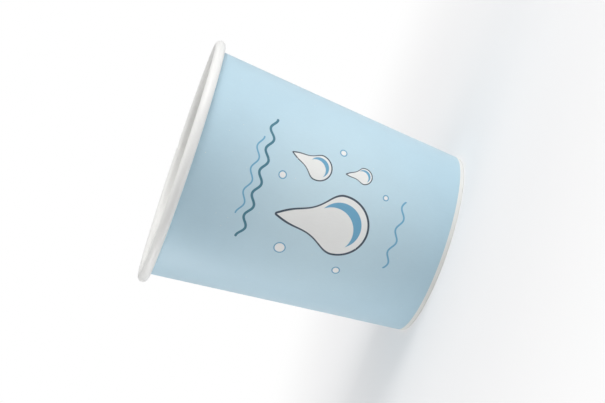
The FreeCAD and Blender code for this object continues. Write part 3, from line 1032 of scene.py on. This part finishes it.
def printed_board():
    """Bare board, with the drawing over it where the flood is, less the missed specks. The
    flood's distance is the largest of the way below its start, the way above its end, and the
    grain's height times the chipped width, less the way to the far edge."""
    material, tree, surface = new_finish("printed board, satin ink")
    board = place_group(tree, BOARD_FIBRE, PRINTED_FIBRE)
    place = add(tree, "ShaderNodeAttribute", {}, attribute_name="blank")["Vector"]
    to_edges = add(tree, "ShaderNodeAttribute", {}, attribute_name="edges")["Vector"]
    ways = add(tree, "ShaderNodeSeparateXYZ", {"Vector": to_edges})
    to_far_edge, up_here = Field(tree, ways[1]), Field(tree, ways[2])
    from_flood = (up_here * -1.0 + FLOOD_START).step("MAXIMUM", up_here - FLOOD_END)
    from_flood = from_flood.step("MAXIMUM", board["Height"] * CHIPPED - to_far_edge)
    flood = place_group(tree, INK, {"Distance": from_flood, "Spread": FLOOD_EDGE})["Fill"]
    missed = place_group(tree, MISSED_SPECKS, {"Chance": SPECK_CHANCE, "Size": SPECK_SIZE})["Amount"]
    colour = print_over(tree, flood, BARE_BOARD, lay_drawing(tree, place))
    colour = print_over(tree, missed * flood, colour, BARE_BOARD)
    dress(tree, surface, colour, board, PRINTED_ROUGH, PRINTED_BUMP)
    return material


PRINTED_FINISH = printed_board()
print(f"{PRINTED_FINISH.name}: {len(PRINTED_FINISH.node_tree.nodes)} nodes")

# %% [markdown]
# The inside, the outside of the bead and the bottom are white board under a film of coating, which
# keeps the cup from leaking and shines a little. The bottom's board is a plainer sheet, so its
# grain is stronger and its film less smooth.

# %% Coated board
COATED_FIBRE = {"Cloud": 0.035, "Streak": 0.03}
COATED_BUMP = (0.05 * MM, 0.35)


def coated_board(name, white, grain, rough):
    """White times the shade of the board. Its film is a low roughness over a fine grain."""
    material, tree, surface = new_finish(name)
    board = place_group(tree, BOARD_FIBRE, {**COATED_FIBRE, "Grain": grain})
    dress(tree, surface, white, board, rough, COATED_BUMP)
    return material


WALL_WHITE = ink(240, 240, 237)
BOTTOM_WHITE = ink(238, 238, 234)
WALL_COATED = coated_board("white board, coated", WALL_WHITE, 0.7, (0.30, 0.16))
BOTTOM_COATED = coated_board("white bottom board, coated", BOTTOM_WHITE, 0.9, (0.34, 0.16))
print(f"{WALL_COATED.name}: {len(WALL_COATED.node_tree.nodes)} nodes")

# %% [markdown]
# Cut edges have neither ink nor film. They are matt, creamy fibre, rougher and more uneven than
# the faces, and they show as a thin line along the seam.

# %% Cut edge
CUT_CREAM = ink(232, 227, 215)
CUT_FIBRE = {"Cloud": 0.06, "Streak": 0.16, "Grain": 2.0}
CUT_ROUGH = (0.84, 0.08)
CUT_BUMP = (0.06 * MM, 0.6)


def cut_edge():
    """The cream of bare fibre times the strong shade of its streaks."""
    material, tree, surface = new_finish("cut edge of board")
    board = place_group(tree, BOARD_FIBRE, CUT_FIBRE)
    dress(tree, surface, CUT_CREAM, board, CUT_ROUGH, CUT_BUMP)
    return material


CUT_FINISH = cut_edge()
print(f"{CUT_FINISH.name}: {len(CUT_FINISH.node_tree.nodes)} nodes")

# %% [markdown]
# The finishes go on in the order of the numbers that the faces were given: printed, coated, cut.

# %% Finishes on the pieces
for finish in (PRINTED_FINISH, WALL_COATED, CUT_FINISH):
    sidewall.data.materials.append(finish)
bottom.data.materials.append(BOTTOM_COATED)
print("sidewall:", [finish.name for finish in sidewall.data.materials])
print("bottom:", [finish.name for finish in bottom.data.materials])

# %% [markdown]
# The cup stands on a pale studio floor. It is a flat ring rather than a square: the hole in its
# middle is a little smaller than the cup's foot, which hides it, and it lets light reach the
# underside, so that the bottom can be looked at too. The ring runs on a short way inside the foot,
# so that nothing bright shows through the hair of a gap under the pressed lap.

# %% Floor
FLOOR_AROUND = 256
FLOOR_RINGS = 12
FLOOR_REACH = 3000.0
FLOOR_DROP = 0.02
FLOOR_UNDER = 2.0
hole_radius = fold_inner[0] - FLOOR_UNDER
floor_turn = np.linspace(0, 2 * np.pi, FLOOR_AROUND, endpoint=False)[:, None]
floor_radius = np.geomspace(hole_radius, FLOOR_REACH, FLOOR_RINGS)[None, :]
floor_across = floor_radius * np.cos(floor_turn)
floor_along = floor_radius * np.sin(floor_turn)
floor_points = np.stack([floor_across, floor_along, np.full_like(floor_across, -FLOOR_DROP)], axis=2)
floor_numbers = np.arange(floor_across.size).reshape(floor_across.shape)
floor_faces = grid_faces(np.concatenate([floor_numbers, floor_numbers[:1]]))[:, ::-1]
floor = make_piece("studio_floor", floor_points.reshape(-1, 3), [(floor_faces, 0)], {})

# %% [markdown]
# Close to the cup the floor is a real white surface that takes the shadow. Further out it fades,
# for the camera alone, into the plain white of the backdrop, so there is no line where it ends.

# %% Floor seen from above
FLOOR_WHITE = (0.93, 0.93, 0.935, 1.0)
FLOOR_ROUGH = 0.9
FLOOR_SHINE = 0.1
BACKDROP_WHITE = (1.0, 1.0, 1.0, 1.0)
FLOOR_FADE = {"From Min": 0.035, "From Max": 0.23, "To Min": 0.28, "To Max": 1.0}


def fading_floor(tree, surface, away, seen):
    """The floor times one less the fade, plus white times the fade, for camera rays. The fade
    grows smoothly with the way from the middle."""
    reach = {"Value": away, **FLOOR_FADE}
    fade = Field(tree, add(tree, "ShaderNodeMapRange", reach, interpolation_type="SMOOTHSTEP")[0])
    surface["Base Color"].default_value = FLOOR_WHITE
    surface["Roughness"].default_value = FLOOR_ROUGH
    surface["Specular IOR Level"].default_value = FLOOR_SHINE
    glow = add(tree, "ShaderNodeEmission", {"Color": BACKDROP_WHITE, "Strength": 1.0})[0]
    matt = tree.nodes["Principled BSDF"].outputs[0]
    return add(tree, "ShaderNodeMixShader", {0: fade * seen, 1: matt, 2: glow})[0]


print("the floor fades from the cup over", FLOOR_FADE["From Max"], "m")

# %% [markdown]
# From below the floor isn't there at all, so the underside can be looked at. Where the foot covers
# it, it glows softly for all rays but the camera's, because the fold that rests on it would
# otherwise be black when seen from below.

# %% Floor seen from below
FOOT_REACH = (BASE_RADIUS - BOARD) * MM
FOOT_GLOW = 0.75


def floor_finish():
    """The fading floor, and a soft glow within the foot's reach for all rays but the camera's.
    Nothing for rays that meet its back."""
    material, tree, surface = new_finish("studio floor")
    place = add(tree, "ShaderNodeTexCoord", {})["Object"]
    away = add(tree, "ShaderNodeVectorMath", {0: place}, operation="LENGTH")["Value"]
    seen = add(tree, "ShaderNodeLightPath", {})["Is Camera Ray"]
    seen_floor = fading_floor(tree, surface, away, seen)
    hidden = (Field(tree, away).step("LESS_THAN", FOOT_REACH) - seen).step("MAXIMUM", 0.0)
    soft_glow = add(tree, "ShaderNodeEmission", {"Color": BACKDROP_WHITE, "Strength": FOOT_GLOW})[0]
    whole_floor = add(tree, "ShaderNodeMixShader", {0: hidden, 1: seen_floor, 2: soft_glow})[0]
    behind = add(tree, "ShaderNodeNewGeometry", {})["Backfacing"]
    clear = add(tree, "ShaderNodeBsdfTransparent", {})[0]
    one_sided = add(tree, "ShaderNodeMixShader", {0: behind, 1: whole_floor, 2: clear})[0]
    plug(tree, tree.nodes["Material Output"].inputs["Surface"], one_sided)
    return material


floor.data.materials.append(floor_finish())
print(f"the floor glows within {FOOT_REACH / MM:.1f} mm, under the foot")

# %% [markdown]
# The world is the studio's even light. It lights the cup at less than half strength, and the
# camera sees plain white instead of it.

# %% World
WORLD_TINT = (0.985, 0.985, 1.0, 1.0)
WORLD_LEVEL = 0.41

world = bpy.data.worlds.new("studio")
bpy.context.scene.world = world
world.use_nodes = True
sky = world.node_tree
seen_by_camera = add(sky, "ShaderNodeLightPath", {})["Is Camera Ray"]
even_light = add(sky, "ShaderNodeBackground", {"Color": WORLD_TINT, "Strength": WORLD_LEVEL})[0]
backdrop = add(sky, "ShaderNodeBackground", {"Color": BACKDROP_WHITE, "Strength": 1.0})[0]
both = add(sky, "ShaderNodeMixShader", {0: seen_by_camera, 1: even_light, 2: backdrop})[0]
plug(sky, sky.nodes["World Output"].inputs["Surface"], both)
print("even light at", WORLD_LEVEL)

# %% [markdown]
# Soft lamps shape the round wall. The key light stands to the cup's right and in front, so the
# wall turns slowly from light to shade. A weak low one on the left is what a white table would
# throw back, and one overhead reaches into the mouth. One more stands under the floor, whose hole
# lets it reach the underside and nothing else. Together they light a white face at about the level
# at which a colour renders as it is written.

# %% Lamps
def soft_lamp(name, place, target, side, power):
    """A square soft lamp at a place in metres, turned to face a target."""
    lamp = bpy.data.lights.new(name, "AREA")
    lamp.size = side
    lamp.energy = power
    holder = bpy.data.objects.new(name, lamp)
    holder.location = place
    holder.rotation_euler = (Vector(target) - Vector(place)).to_track_quat("-Z", "Y").to_euler()
    bpy.context.scene.collection.objects.link(holder)
    print(f"{name}: {power} W, {side} m wide")


MIDDLE = (0.0, 0.0, CUP_HEIGHT / 2 * MM)
LAMPS = {
    "key_light": ((0.64, -0.27, 0.36), 0.45, 3.1),
    "low_bounce": ((-0.55, 0.06, 0.06), 0.35, 1.5),
    "top_light": ((0.06, -0.04, 0.56), 0.40, 0.72),
    "under_light": ((-0.16, -0.22, -0.38), 0.40, 1.2),
}
for name, (place, side, power) in LAMPS.items():
    soft_lamp(name, place, MIDDLE, side, power)

# %% [markdown]
# The camera looks at the middle of the print from slightly above, on the mouth side, from about
# 430 mm away. The cup in the picture lies with its rim up to the left, so the camera is rolled
# about its line of sight: the picture turns, and everything else stays upright.

# %% Camera
VIEW_ABOVE = math.radians(7.0)
VIEW_DISTANCE = 0.43
VIEW_ROLL = math.radians(71.5)
FRAME_WIDTH = 605
FOCUS_PIXELS = 1480
SENSOR = 36.0
NEAREST = 0.01
AIM = Vector((0.0, 0.0, 0.0395))

toward = Vector((0.0, math.cos(VIEW_ABOVE), -math.sin(VIEW_ABOVE)))
level_right = Vector((1.0, 0.0, 0.0))
level_up = level_right.cross(toward)
right = math.cos(VIEW_ROLL) * level_right - math.sin(VIEW_ROLL) * level_up
up = math.sin(VIEW_ROLL) * level_right + math.cos(VIEW_ROLL) * level_up
lens = bpy.data.cameras.new("camera")
lens.sensor_width = SENSOR
lens.lens = SENSOR * FOCUS_PIXELS / FRAME_WIDTH
lens.clip_start = NEAREST
camera = bpy.data.objects.new("camera", lens)
turn = Matrix((right, up, -toward)).transposed()
camera.matrix_world = Matrix.Translation(AIM - toward * VIEW_DISTANCE) @ turn.to_4x4()
bpy.context.scene.collection.objects.link(camera)
bpy.context.scene.camera = camera
bpy.context.scene.view_settings.view_transform = "Standard"
print(f"lens {lens.lens:.0f} mm, {VIEW_DISTANCE} m away")

# %% [markdown]
# Dressing the cup must not change how big it is.
